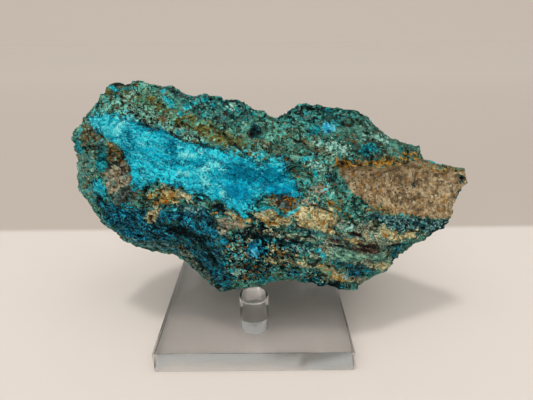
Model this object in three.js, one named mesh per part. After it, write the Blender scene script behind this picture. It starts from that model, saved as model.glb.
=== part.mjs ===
// A chrysocolla specimen resting on a clear acrylic display stand with three pegs.
// Millimetres, +Z up. The origin is the middle of the stand's underside; the stone's long way is X
// and its showy face looks towards -Y.

import * as THREE from 'three';
import { ImprovedNoise } from 'three/addons/math/ImprovedNoise.js';

// The stand: a square plate with polished, slightly broken edges, and three round pegs.
// seatReach is how far past a peg's rim the stone's underside is worn flat.
const plate = { side: 100, thickness: 11.5, brokenEdge: 0.4 };
const peg = { diameter: 15, height: 19.5, brokenEdge: 0.35, sides: 64 };
const pegs = [
  { name: 'peg_front', x: 0, y: -29.5, seatReach: 4.3 },
  { name: 'peg_back_left', x: -30, y: 29, seatReach: 5.5 },
  { name: 'peg_back_right', x: 30, y: 29, seatReach: 5.5 },
];
const pegTop = plate.thickness + peg.height;

// How finely the stone is faceted, and how rough its broken surface is. Within seatSlack above
// a peg's top, the underside comes down onto the peg.
const stone = {
  stations: 74,
  endRings: 3,
  lumpDepth: 1.5,
  chipDepth: 0.8,
  lumpLength: 26,
  chipLength: 8,
  layerDip: THREE.MathUtils.degToRad(24),
  layerThinning: 2.6,
  seatSlack: 1,
};

// The stone's edges and breaks, each a line of corner points [x, y, z] from its left end to its
// right end. They go round the stone: over the top of the face, down it, under, and up the back.
// rowsAfter is how many strips of facets fill the way to the next line.
const lines = [
  {
    name: 'crest', // the skyline: a high left hump, a notch, a right hump, then steps to the tip
    rowsAfter: 4,
    points: [
      [-77, 4, 124], [-72, 5, 131], [-66, 7, 132], [-54, 8, 132.5], [-43, 8, 131.5], [-30, 8, 126.5],
      [-6, 9, 125], [1, 7, 119.5], [11, 6, 115.5], [18, 7, 116.5], [25, 8, 122], [45, 8, 118.5],
      [55, 8, 117], [62, 6, 113], [70, 4, 106.5], [79, 3, 101.5], [86, 2, 101.5], [88.5, 2, 94],
      [99, 2, 90], [112, 1, 88.5],
    ],
  },
  {
    name: 'brow', // half way down the strip that leans back above the face
    rowsAfter: 4,
    points: [
      [-82, 3, 118], [-70, -2, 123], [-56, -3, 125], [-40, -4, 120], [-15, -5, 113], [2, -7, 107],
      [22, -6, 111], [45, -6, 109], [64, -5, 104], [83, -3, 99.5], [88.5, -2, 92.5], [112, -1, 87],
    ],
  },
  {
    name: 'eave', // top of the face on the left; on the right the lip of the overhanging block
    rowsAfter: 2,
    points: [
      [-88, 3, 111.5], [-83, -3, 112], [-70, -8, 114], [-58, -10, 113], [-32, -15, 104],
      [-5, -17, 99], [23, -18, 97], [41, -18, 98], [53, -17, 96], [63, -15, 94], [74, -12, 94.5],
      [82, -9, 96], [88, -5, 91], [99, -4, 88.5], [111.5, -2, 86],
    ],
  },
  {
    name: 'recess', // tucked in under the lip on the right, flush on the left
    rowsAfter: 5,
    points: [
      [-93.5, 3, 106], [-86, -4, 106], [-70, -10, 109], [-45, -15, 103], [-20, -18, 96],
      [5, -20, 92], [25, -18, 92], [41, -13, 94], [53, -11, 92], [63, -9.5, 90], [74, -7, 91],
      [82, -5, 92], [88, -4, 88.5], [99, -3, 87], [112.5, -2, 84],
    ],
  },
  {
    name: 'belt', // the proudest line of the face; on the right the foot of the sunken wedge
    rowsAfter: 5,
    points: [
      [-94, 4, 97], [-88, -4, 96], [-78, -11, 92], [-62, -16, 89], [-44, -20, 85], [-25, -24, 80],
      [-6, -26, 77], [14, -27, 78], [34, -25, 81], [47, -21, 85], [57, -19, 77], [68, -16, 71],
      [81, -13, 69], [96, -10, 66], [107, -5, 65],
    ],
  },
  {
    name: 'chin', // where the face turns under
    rowsAfter: 5,
    points: [
      [-94, 4, 80], [-89, -4, 78], [-82, -8, 75], [-72, -12, 69], [-58, -17, 65], [-41, -22, 62],
      [-26, -26, 59], [-11, -29, 55], [8, -30, 52], [28, -30, 50], [46, -28, 50], [62, -24, 50],
      [74, -19, 53], [88, -13, 57], [106, -5, 60],
    ],
  },
  {
    name: 'foot', // the lowest edge seen from the front, with a beak left of the front peg
    rowsAfter: 7,
    points: [
      [-93, 5, 70], [-85, 0, 61], [-72, -3, 47.5], [-60, -5, 43], [-50, -6, 42], [-42, -9, 44],
      [-34, -15, 38], [-26, -20, 33.5], [-17, -26, 28], [-11, -25, 29], [-4, -24, 31], [1, -23, 31],
      [9, -23, 34], [24, -25, 35.5], [38, -27, 34], [46, -27, 30.5], [58, -20, 30.5],
      [72, -14, 35.5], [76, -13, 38], [79, -11, 43], [88, -8, 47.5], [104, -2, 55],
    ],
  },
  {
    name: 'sole', // along the middle of the underside
    rowsAfter: 8,
    points: [
      [-90, 12, 68], [-70, 10, 53], [-50, 8, 42], [-30, 4, 33], [-8, 2, 30], [16, 2, 30],
      [42, 2, 30.5], [60, 3, 34], [80, 6, 46], [99, 6, 57],
    ],
  },
  {
    name: 'heel', // rear lower edge, down on the back pegs
    rowsAfter: 8,
    points: [
      [-87, 20, 70], [-70, 29, 55], [-52, 35, 40], [-34, 39, 30.5], [0, 41, 33], [30, 39, 30.5],
      [50, 37, 34], [70, 31, 43], [84, 24, 52], [98, 12, 61],
    ],
  },
  {
    name: 'back', // the rounded, weathered rear
    rowsAfter: 7,
    points: [
      [-91, 21, 92], [-84, 29, 91], [-72, 38, 90], [-45, 47, 82], [-14, 50, 78], [18, 51, 74],
      [46, 46, 72], [70, 38, 70], [88, 27, 72], [103, 13, 76],
    ],
  },
  {
    name: 'nape', // rear upper edge
    rowsAfter: 5,
    points: [
      [-82, 14, 118], [-62, 28, 124], [-40, 36, 119], [-10, 38, 113], [14, 37, 106],
      [40, 36, 109], [60, 29, 103], [80, 19, 94], [96, 12, 87], [110, 6, 86],
    ],
  },
];

function clearAcrylic() {
  return new THREE.MeshStandardMaterial({
    color: 0xf2f5f4,
    roughness: 0.04,
    metalness: 0,
    transparent: true,
    opacity: 0.35,
  });
}

function makePlate() {
  const edge = plate.brokenEdge;
  const half = plate.side / 2 - edge;
  const outline = new THREE.Shape([
    new THREE.Vector2(-half, -half),
    new THREE.Vector2(half, -half),
    new THREE.Vector2(half, half),
    new THREE.Vector2(-half, half),
  ]);
  const geometry = new THREE.ExtrudeGeometry(outline, {
    depth: plate.thickness - 2 * edge,
    bevelEnabled: true,
    bevelSize: edge,
    bevelThickness: edge,
    bevelSegments: 1,
  });
  const mesh = new THREE.Mesh(geometry, clearAcrylic());
  mesh.name = 'base_plate';
  mesh.position.z = edge;
  return mesh;
}

function makePeg({ name, x, y }) {
  const radius = peg.diameter / 2;
  const edge = peg.brokenEdge;
  const profile = [
    new THREE.Vector2(0, 0),
    new THREE.Vector2(radius, 0),
    new THREE.Vector2(radius, peg.height - edge),
    new THREE.Vector2(radius - edge, peg.height),
    new THREE.Vector2(0, peg.height),
  ];
  const geometry = new THREE.LatheGeometry(profile, peg.sides);
  geometry.rotateX(Math.PI / 2);
  const mesh = new THREE.Mesh(geometry, clearAcrylic());
  mesh.name = name;
  mesh.position.set(x, y, plate.thickness);
  return mesh;
}

// The point a fraction t of the way along a line, measured in x.
function pointOnLine(points, t) {
  const x = THREE.MathUtils.lerp(points[0][0], points.at(-1)[0], t);
  const next = Math.max(1, points.findIndex((point) => point[0] >= x - 1e-9));
  const from = new THREE.Vector3(...points[next - 1]);
  const to = new THREE.Vector3(...points[next]);
  return from.lerp(to, (x - from.x) / (to.x - from.x));
}

// One closed section of the stone: straight strips between neighbouring lines.
function sectionAt(t) {
  const corners = lines.map((line) => pointOnLine(line.points, t));
  return corners.flatMap((corner, i) => {
    const nextCorner = corners[(i + 1) % corners.length];
    const rows = lines[i].rowsAfter;
    return Array.from({ length: rows }, (_, row) => corner.clone().lerp(nextCorner, row / rows));
  });
}

function middleOf(section) {
  const sum = section.reduce((total, point) => total.add(point), new THREE.Vector3());
  return sum.divideScalar(section.length);
}

// Natural breakage: wide lumps and small chips, drawn out along layers that dip to the right.
const noise = new ImprovedNoise();

function breakage(point) {
  const along = point.x * Math.cos(stone.layerDip) - point.z * Math.sin(stone.layerDip);
  const across = point.x * Math.sin(stone.layerDip) + point.z * Math.cos(stone.layerDip);
  const sample = (length) => noise.noise(
    along / length,
    (across * stone.layerThinning) / length,
    (point.y * stone.layerThinning) / length,
  );
  return stone.lumpDepth * sample(stone.lumpLength) + stone.chipDepth * sample(stone.chipLength);
}

// Where the stone sits on a peg its underside is worn to a flat at the height of the peg's top.
function seat(point) {
  const overPeg = pegs.some(({ x, y, seatReach }) => (
    Math.hypot(point.x - x, point.y - y) < peg.diameter / 2 + seatReach
  ));
  if (overPeg && point.z < pegTop + stone.seatSlack) {
    point.z = pegTop;
  }
  return point;
}

function roughen(section) {
  const middle = middleOf(section);
  return section.map((point) => {
    const outward = point.clone().sub(middle).normalize();
    return seat(point.clone().addScaledVector(outward, breakage(point)));
  });
}

// Sections from one end to the other. Each end is closed by smaller copies of the end section.
function stoneSections() {
  const sections = Array.from({ length: stone.stations }, (_, i) => sectionAt(i / (stone.stations - 1)));
  const shrunk = (section, share) => {
    const middle = middleOf(section);
    return section.map((point) => point.clone().lerp(middle, share));
  };
  for (let ring = 1; ring <= stone.endRings; ring += 1) {
    const share = 1 / (stone.endRings + 2 - ring);
    sections.unshift(shrunk(sections[0], share));
    sections.push(shrunk(sections.at(-1), share));
  }
  return sections.map(roughen);
}

function makeStone() {
  const sections = stoneSections();
  const around = sections[0].length;
  const vertices = [...sections.flat(), middleOf(sections[0]), middleOf(sections.at(-1))];
  const leftPole = vertices.length - 2;
  const rightPole = vertices.length - 1;
  const lastSection = (sections.length - 1) * around;
  const triangles = [];
  for (let i = 0; i < around; i += 1) {
    const next = (i + 1) % around;
    for (let s = 0; s < lastSection; s += around) {
      triangles.push(s + i, s + next, s + around + i);
      triangles.push(s + next, s + around + next, s + around + i);
    }
    triangles.push(leftPole, next, i);
    triangles.push(rightPole, lastSection + i, lastSection + next);
  }
  const geometry = new THREE.BufferGeometry().setFromPoints(vertices);
  geometry.setIndex(triangles);
  geometry.computeVertexNormals();
  const material = new THREE.MeshStandardMaterial({ color: 0x2c8c92, roughness: 0.75, metalness: 0 });
  const mesh = new THREE.Mesh(geometry, material);
  mesh.name = 'specimen';
  return mesh;
}

const part = new THREE.Group();
part.add(makePlate());
part.add(...pegs.map(makePeg), makeStone());

export default part;
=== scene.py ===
# A chrysocolla specimen resting on the three pegs of a clear acrylic stand.
# Blender works in metres. A length in a shape list or in a stand or stone dictionary is in millimetres.
import math
from statistics import NormalDist

import bpy
import numpy as np
from mathutils import Matrix, Vector


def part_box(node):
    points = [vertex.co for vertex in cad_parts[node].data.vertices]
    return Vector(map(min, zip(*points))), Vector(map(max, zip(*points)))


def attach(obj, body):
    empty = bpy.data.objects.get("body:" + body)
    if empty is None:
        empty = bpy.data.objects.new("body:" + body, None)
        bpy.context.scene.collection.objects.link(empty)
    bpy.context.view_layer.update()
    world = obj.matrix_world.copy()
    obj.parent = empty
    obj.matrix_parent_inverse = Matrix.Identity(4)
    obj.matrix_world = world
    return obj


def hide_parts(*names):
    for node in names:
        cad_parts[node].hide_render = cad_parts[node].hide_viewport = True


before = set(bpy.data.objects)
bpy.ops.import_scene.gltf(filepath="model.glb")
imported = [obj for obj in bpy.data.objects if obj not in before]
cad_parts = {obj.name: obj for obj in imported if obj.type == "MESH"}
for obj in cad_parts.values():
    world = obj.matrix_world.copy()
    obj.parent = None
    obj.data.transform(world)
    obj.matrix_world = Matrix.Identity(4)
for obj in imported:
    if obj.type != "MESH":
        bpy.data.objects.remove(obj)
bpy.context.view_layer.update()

mm = 0.001
print("frame loaded:", sorted(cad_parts))


def hexToLinear(code):
    channels = [int(code[i:i + 2], 16) / 255 for i in (0, 2, 4)]
    return (*[c / 12.92 if c <= 0.04045 else ((c + 0.055) / 1.055) ** 2.4 for c in channels], 1.0)


def addNode(tree, kind, settings=None, links=None, stops=None):
    # settings are the node's own options, links go to its sockets: a value, or another node's socket
    node = tree.nodes.new(kind)
    for name, value in (settings or {}).items():
        setattr(node, name, value)
    for place, value in (links or {}).items():
        if isinstance(value, bpy.types.NodeSocket):
            tree.links.new(value, node.inputs[place])
        else:
            node.inputs[place].default_value = value
    if stops:
        ramp = node.color_ramp
        while len(ramp.elements) < len(stops):
            ramp.elements.new(0.5)
        for element, (position, code) in zip(ramp.elements, stops):
            element.position = position
            element.color = hexToLinear(code)
    return node


# settings that many nodes share
multiplyAdd = {"operation": "MULTIPLY_ADD"}
smoothStep = {"interpolation_type": "SMOOTHSTEP"}
mixColour = {"data_type": "RGBA"}


def newMaterial(name):
    material = bpy.data.materials.new(name)
    material.use_nodes = True
    material.node_tree.nodes.clear()
    return material, material.node_tree


def deselectAll():
    if bpy.context.object and bpy.context.object.mode != "OBJECT":
        bpy.ops.object.mode_set(mode="OBJECT")
    bpy.ops.object.select_all(action="DESELECT")


def makeActive(piece):
    deselectAll()
    piece.select_set(True)
    bpy.context.view_layer.objects.active = piece


def applyModifier(piece, kind, **settings):
    makeActive(piece)
    modifier = piece.modifiers.new(kind.title(), kind)
    for name, value in settings.items():
        setattr(modifier, name, value)
    bpy.ops.object.modifier_apply(modifier=modifier.name)


def pickFaces(piece, chosen):
    # leaves the piece in edit mode with only those faces selected
    bpy.ops.object.mode_set(mode="EDIT")
    bpy.ops.mesh.select_mode(type="FACE")
    bpy.ops.mesh.select_all(action="DESELECT")
    bpy.ops.object.mode_set(mode="OBJECT")
    for face in piece.data.polygons:
        face.select = chosen(face)
    bpy.ops.object.mode_set(mode="EDIT")


def smoothFaces(piece, angle):
    makeActive(piece)
    bpy.ops.object.shade_smooth_by_angle(angle=math.radians(angle))


def settle(piece):
    # the place goes into the mesh, as in a CAD node
    makeActive(piece)
    bpy.ops.object.transform_apply(location=True, rotation=True, scale=True)


# the camera is a little above the stone and looks down at its face; angles in degrees
cameraSetup = {
    "place": (0.007, -0.1988, 0.1597), "pitchDown": 23.9, "roll": -0.52,
    "lens": 27.0, "sensor": 36.0, "nearest": 0.01,
}
deselectAll()
bpy.ops.object.camera_add(location=cameraSetup["place"])
camera = bpy.context.object
camera.name = "camera"
camera.data.lens = cameraSetup["lens"]
camera.data.sensor_width = cameraSetup["sensor"]
camera.data.clip_start = cameraSetup["nearest"]
lookAngle = math.radians(90 - cameraSetup["pitchDown"])
rollAngle = math.radians(cameraSetup["roll"])
camera.rotation_euler = (Matrix.Rotation(lookAngle, 4, "X") @ Matrix.Rotation(rollAngle, 4, "Z")).to_euler()
bpy.context.scene.camera = camera

# soft light from above and in front. The case light is a bank of equal lamps in one direction: as one
# lamp it would be so bright for its width that some of its light is cut off under the acrylic.
studio = {
    "airColour": "D8D8D3",
    "airStrength": 0.68,
    "lampColour": "FFFCF7",
    "lamps": {
        "ceiling_light_left": {"tip": (9, -27), "spread": 40, "strength": 0.5, "copies": 1},
        "ceiling_light_right": {"tip": (9, 21), "spread": 40, "strength": 0.5, "copies": 1},
        "case_light": {"tip": (4, -10), "spread": 8, "strength": 0.15, "copies": 6},
    },
    "fill": {"place": (-0.25, -1.3, 0.9), "aim": (0, 0, 0.08), "size": (1.3, 1.0), "watts": 9},
}
scene = bpy.context.scene
scene.view_settings.view_transform = "Standard"
world = bpy.data.worlds.new("studio_air")
world.use_nodes = True
world.node_tree.nodes.clear()
air = addNode(world.node_tree, "ShaderNodeBackground", links={
    "Color": hexToLinear(studio["airColour"]), "Strength": studio["airStrength"]})
addNode(world.node_tree, "ShaderNodeOutputWorld", links={"Surface": air.outputs[0]})
scene.world = world

for name, wanted in studio["lamps"].items():
    for copy in range(wanted["copies"]):
        deselectAll()
        bpy.ops.object.light_add(type="SUN", location=(0, 0, 1))
        lamp = bpy.context.object
        lamp.name = f"{name}_{copy + 1}"
        lamp.rotation_euler = [math.radians(angle) for angle in (*wanted["tip"], 0)]
        lamp.data.angle = math.radians(wanted["spread"])
        lamp.data.energy = wanted["strength"]
        lamp.data.color = hexToLinear(studio["lampColour"])[:3]

fill = studio["fill"]
deselectAll()
bpy.ops.object.light_add(type="AREA", location=fill["place"])
lamp = bpy.context.object
lamp.name = "front_fill"
lamp.rotation_euler = (Vector(fill["aim"]) - Vector(fill["place"])).to_track_quat("-Z", "Y").to_euler()
lamp.data.shape = "RECTANGLE"
lamp.data.size, lamp.data.size_y = fill["size"]
lamp.data.energy = fill["watts"]
lamp.data.color = hexToLinear(studio["lampColour"])[:3]

# Matt laminate table top: almost flat colour, a breath of unevenness. It darkens just behind the
# stand, then grows slowly lighter far off: painted light that makes up for the front fill lamp's light
# falling off with distance. Distances in metres; the shares are steps along its three tones.
table = {
    "size": 40.0, "drop": 0.1 * mm,
    "near": "D6CDC7", "far": "B6ABA3", "farthestPaintedLight": "C2B7AF",
    "darkens": (0.097, 0.107), "paintedLightSpan": (0.2, 1.2), "darkShare": 0.2, "paintedLightShare": 0.8,
    "mottlePerMetre": 60.0, "mottle": 0.008, "roughness": 0.75, "specular": 0.2,
}
laminate, tree = newMaterial("floor_matt_laminate")
where = addNode(tree, "ShaderNodeTexCoord")
apart = addNode(tree, "ShaderNodeSeparateXYZ", links={0: where.outputs["Object"]})
fade = addNode(tree, "ShaderNodeMapRange", smoothStep, {
    "Value": apart.outputs["Y"], "From Min": table["darkens"][0], "From Max": table["darkens"][1]})
paintedLightFade = addNode(tree, "ShaderNodeMapRange", links={
    "Value": apart.outputs["Y"], "From Min": table["paintedLightSpan"][0], "From Max": table["paintedLightSpan"][1],
    "To Max": table["paintedLightShare"]})
tone = addNode(tree, "ShaderNodeMath", multiplyAdd, {
    0: fade.outputs[0], 1: table["darkShare"], 2: paintedLightFade.outputs[0]})
mottle = addNode(tree, "ShaderNodeTexNoise", links={
    "Vector": where.outputs["Object"], "Scale": table["mottlePerMetre"]})
uneven = addNode(tree, "ShaderNodeMath", multiplyAdd, {
    0: mottle.outputs[0], 1: table["mottle"], 2: tone.outputs[0]})
ramp = addNode(tree, "ShaderNodeValToRGB", links={0: uneven.outputs[0]}, stops=[
    (0.0, table["near"]), (table["darkShare"], table["far"]), (1.0, table["farthestPaintedLight"])])
surface = addNode(tree, "ShaderNodeBsdfPrincipled", links={
    "Base Color": ramp.outputs[0], "Roughness": table["roughness"],
    "Specular IOR Level": table["specular"]})
addNode(tree, "ShaderNodeOutputMaterial", links={0: surface.outputs[0]})

deselectAll()
bpy.ops.mesh.primitive_plane_add(size=table["size"], location=(0, 0, -table["drop"]))
floor = bpy.context.object
floor.name = "floor"
settle(floor)
floor.data.materials.append(laminate)

# a low pale wall far behind leans back, so the floor does not end at a line; metres and degrees
wall = {
    "distance": 4.0, "height": 0.6, "lean": 55, "colour": "C6BBB3", "roughness": 0.9, "specular": 0.1,
}
paint, tree = newMaterial("backdrop_matt_paint")
surface = addNode(tree, "ShaderNodeBsdfPrincipled", links={
    "Base Color": hexToLinear(wall["colour"]), "Roughness": wall["roughness"],
    "Specular IOR Level": wall["specular"]})
addNode(tree, "ShaderNodeOutputMaterial", links={0: surface.outputs[0]})
deselectAll()
bpy.ops.mesh.primitive_plane_add(
    size=1, location=(0, wall["distance"], wall["height"] / 2),
    rotation=(math.radians(90 - wall["lean"]), 0, 0))
backdrop = bpy.context.object
backdrop.name = "backdrop"
slope = wall["height"] / math.cos(math.radians(wall["lean"]))
backdrop.scale = (table["size"], slope, 1)
settle(backdrop)
backdrop.data.materials.append(paint)
print("studio ready")

stand = {
    "edgeBevel": 0.25,
    "pegBevel": 0.5,
    "bevelSegments": 3,
    "dishDepth": 1.2,
    "dishRings": 7,
    "pegSides": 96,
    "jointDepth": 0.02,   # the plate has a pocket this deep under each peg's foot
    "smoothAngle": 35,
    "ior": 1.49,
    "clear": "FFFFFF",
    "absorbColour": "E2E8E6",
    "absorbDensity": 1.0,
    "roughness": 0.01,
    "wiped": 0.015,       # roughness where it has been wiped
    "wipePerMetre": 120.0,
    "wipeFrom": 0.45,
    "wipeTo": 0.8,
    "scuffed": 0.15,      # roughness added underneath
}
upright = 0.9   # a face whose normal points up at least this much is a top, or down, a bottom
level = 0.99    # the flat middle of a top alone, not the bevel round it

# cast acrylic, flame-polished edges: water-clear, glossy, a faint cool tint through its thickness;
# its underside is dulled from sliding on tables, so the front edge shows an even, soft grey
acrylic, tree = newMaterial("clear_cast_acrylic_polished")
where = addNode(tree, "ShaderNodeTexCoord")
haze = addNode(tree, "ShaderNodeTexNoise", links={
    "Vector": where.outputs["Object"], "Scale": stand["wipePerMetre"], "Detail": 2.0})
wipeMarks = addNode(tree, "ShaderNodeMapRange", links={
    "Value": haze.outputs[0], "From Min": stand["wipeFrom"], "From Max": stand["wipeTo"],
    "To Min": stand["roughness"], "To Max": stand["wiped"]})
scuffed = addNode(tree, "ShaderNodeAttribute", {"attribute_name": "scuffed"})
dulled = addNode(tree, "ShaderNodeMath", multiplyAdd, {
    0: scuffed.outputs["Fac"], 1: stand["scuffed"], 2: wipeMarks.outputs[0]})
polished = addNode(tree, "ShaderNodeBsdfPrincipled", links={
    "Base Color": hexToLinear(stand["clear"]), "Roughness": dulled.outputs[0], "IOR": stand["ior"],
    "Transmission Weight": 1.0})
# solvent-bonded joint: peg and plate are one piece of acrylic there, so light goes straight on
joined = addNode(tree, "ShaderNodeBsdfPrincipled", links={
    "Base Color": hexToLinear(stand["clear"]), "Roughness": 0.0, "IOR": 1.0, "Transmission Weight": 1.0})
bonded = addNode(tree, "ShaderNodeAttribute", {"attribute_name": "bonded"})
surface = addNode(tree, "ShaderNodeMixShader", links={
    0: bonded.outputs["Fac"], 1: polished.outputs[0], 2: joined.outputs[0]})
inside = addNode(tree, "ShaderNodeVolumeAbsorption", links={
    "Color": hexToLinear(stand["absorbColour"]), "Density": stand["absorbDensity"]})
addNode(tree, "ShaderNodeOutputMaterial", links={0: surface.outputs[0], 1: inside.outputs[0]})


def markFaces(piece, name, chosen):
    layer = piece.data.attributes.new(name, "FLOAT", "FACE")
    layer.data.foreach_set("value", [1.0 if chosen(face) else 0.0 for face in piece.data.polygons])


low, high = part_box("base_plate")
deselectAll()
bpy.ops.mesh.primitive_cube_add(size=1, location=(low + high) / 2, scale=high - low)
plate = bpy.context.object
plate.name = "acrylic_plate"
settle(plate)
applyModifier(plate, "BEVEL", width=stand["edgeBevel"] * mm, segments=stand["bevelSegments"])
plateTop = high.z
joint = stand["jointDepth"] * mm

pegNodes = ("peg_front", "peg_back_left", "peg_back_right")
pegPieces = []
for node in pegNodes:
    low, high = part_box(node)
    middle = (low + high) / 2
    radius = (high.x - low.x) / 2
    # a shallow pocket under the peg, so the two bonded faces don't lie in one plane
    deselectAll()
    bpy.ops.mesh.primitive_cylinder_add(
        vertices=stand["pegSides"], radius=radius - joint, depth=4 * joint,
        location=(middle.x, middle.y, plateTop + joint))
    cutter = bpy.context.object
    settle(cutter)
    applyModifier(plate, "BOOLEAN", operation="DIFFERENCE", object=cutter, solver="EXACT")
    bpy.data.objects.remove(cutter)

    deselectAll()
    bpy.ops.mesh.primitive_cylinder_add(
        vertices=stand["pegSides"], radius=radius, depth=high.z - low.z, location=middle)
    peg = bpy.context.object
    peg.name = node.replace("peg", "acrylic_peg")
    settle(peg)
    pickFaces(peg, lambda face: face.normal.z > upright)
    bpy.ops.mesh.region_to_loop()
    bpy.ops.mesh.bevel(offset=stand["pegBevel"] * mm, segments=stand["bevelSegments"])
    # the top is turned to a shallow dish, ring by ring, inside its rounded rim
    pickFaces(peg, lambda face: face.normal.z > level)
    ringWidth = (radius - stand["pegBevel"] * mm) / (stand["dishRings"] + 0.5)
    for ring in range(stand["dishRings"]):
        bpy.ops.mesh.inset(thickness=ringWidth)
        drop = stand["dishDepth"] * mm * 2 * (stand["dishRings"] - ring) / stand["dishRings"] ** 2
        bpy.ops.transform.translate(value=(0, 0, -drop / (1 + 1 / stand["dishRings"])))
    bpy.ops.object.mode_set(mode="OBJECT")
    peg.data.materials.append(acrylic)
    markFaces(peg, "bonded", lambda face: face.normal.z < -upright)
    smoothFaces(peg, stand["smoothAngle"])
    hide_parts(node)
    pegPieces.append(peg)

plate.data.materials.append(acrylic)
markFaces(plate, "bonded", lambda face: face.normal.z > upright and face.center.z < plateTop - 0.5 * joint)
markFaces(plate, "scuffed", lambda face: face.normal.z < -upright)
smoothFaces(plate, stand["smoothAngle"])
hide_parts("base_plate")
for piece in (plate, *pegPieces):
    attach(piece, "root")
print("stand made")
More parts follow.
